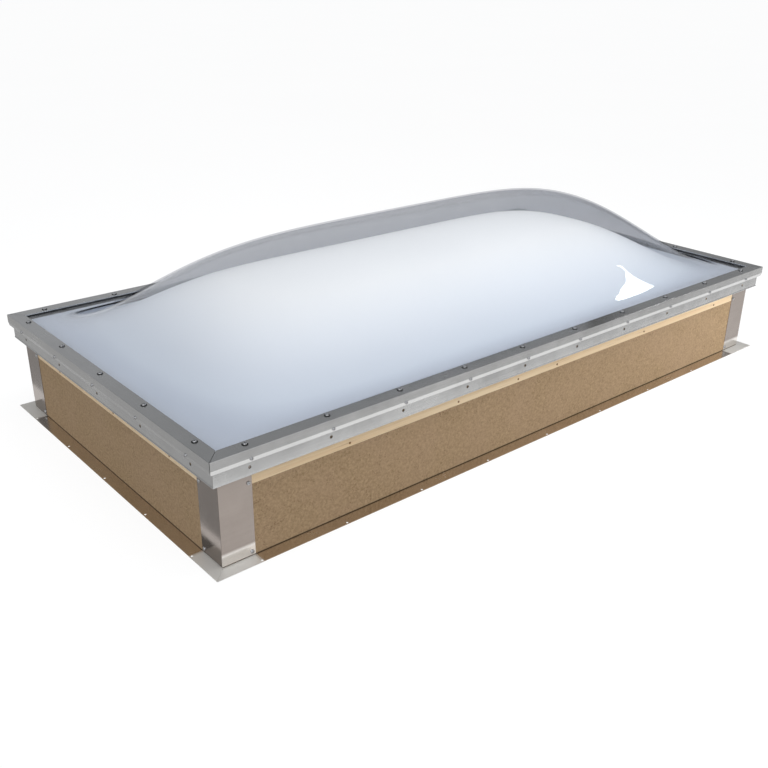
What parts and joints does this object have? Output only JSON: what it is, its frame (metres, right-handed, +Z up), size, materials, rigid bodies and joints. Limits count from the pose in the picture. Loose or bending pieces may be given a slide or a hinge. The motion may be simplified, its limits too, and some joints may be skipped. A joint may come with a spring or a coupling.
{
  "type": "roof skylight",
  "caption": "Fixed rectangular roof skylight: a clear blown dome over a white one, held by a mitred screwed metal frame on an insulated sheet-metal curb with a nailing flange.",
  "frame": {"origin": "centre of the rectangle that the base flange covers, on the roof deck", "axes": "+X along the long sides, +Y along the short sides, +Z up out of the roof"},
  "size_m": [1.9126, 0.9982, 0.4774],
  "materials": {
    "curb_metal": "bright mill sheet",
    "cap_metal": "dull rolled sheet",
    "frame_metal": "mill extrusion",
    "fibreboard": "pressed fibre, matt",
    "nailer_wood": "planed softwood",
    "white_acrylic": "white translucent, glossy",
    "clear_acrylic": "clear, glossy",
    "glazing_tape": "matt foam",
    "screw_metal": "zinc plated",
    "washer_rubber": "matt",
    "nail_metal": "dull, tarnished"
  },
  "bodies": {
    "root": {"base_flange_back": "curb_metal", "base_flange_front": "curb_metal", "base_flange_left": "curb_metal", "base_flange_right": "curb_metal", "corner_cap_back_left": "cap_metal", "corner_cap_back_right": "cap_metal", "corner_cap_front_left": "cap_metal", "corner_cap_front_right": "cap_metal", "curb_frame_back": "frame_metal", "curb_frame_front": "frame_metal", "curb_frame_left": "frame_metal", "curb_frame_right": "frame_metal", "curb_wall_back": "curb_metal", "curb_wall_front": "curb_metal", "curb_wall_left": "curb_metal", "curb_wall_right": "curb_metal", "dome_spacer": "glazing_tape", "inner_dome": "white_acrylic", "insulation_board_back": "fibreboard", "insulation_board_front": "fibreboard", "insulation_board_left": "fibreboard", "insulation_board_right": "fibreboard", "lower_cap_screws": "screw_metal", "lower_tape": "glazing_tape", "nailer_back": "nailer_wood", "nailer_front": "nailer_wood", "nailer_left": "nailer_wood", "nailer_nails": "nail_metal", "nailer_right": "nailer_wood", "outer_dome": "clear_acrylic", "retainer_back": "frame_metal", "retainer_front": "frame_metal", "retainer_left": "frame_metal", "retainer_right": "frame_metal", "sealing_washers": "washer_rubber", "side_screws": "screw_metal", "top_screws": "screw_metal", "upper_cap_screws": "screw_metal", "upper_tape": "glazing_tape"}
  },
  "joints": []
}
